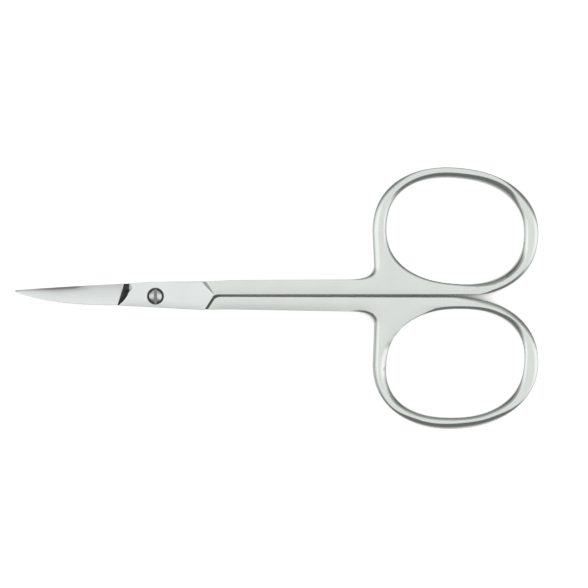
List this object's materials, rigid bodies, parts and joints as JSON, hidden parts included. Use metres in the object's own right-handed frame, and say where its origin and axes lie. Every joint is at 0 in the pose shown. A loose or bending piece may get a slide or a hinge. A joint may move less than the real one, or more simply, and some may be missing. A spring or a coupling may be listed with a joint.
{
  "type": "manicure scissors",
  "caption": "Manicure scissors with slim pointed straight blades, a slotted pivot screw and oval finger rings.",
  "frame": {"origin": "on the pivot's axis, at the flat end of the screw, in the plane that the scissors rest on", "axes": "+X along the scissors towards the finger rings, +Z out of the face that carries the screw's head, +Y across, towards the front half's ring"},
  "size_m": [0.0899, 0.045, 0.003],
  "materials": {
    "half_steel": "bright polished, with a faint brushed grain",
    "screw_steel": "turned and polished"
  },
  "bodies": {
    "rear": {"rear_half": "half_steel", "pivot_screw": "screw_steel"},
    "front": {"front_half": "half_steel"}
  },
  "joints": [
    {"name": "blade_pivot", "type": "hinge", "parent": "rear", "child": "front", "pos_m": [0, 0, 0.0015], "axis": [0, 0, 1], "range_deg": [0, 140]}
  ]
}
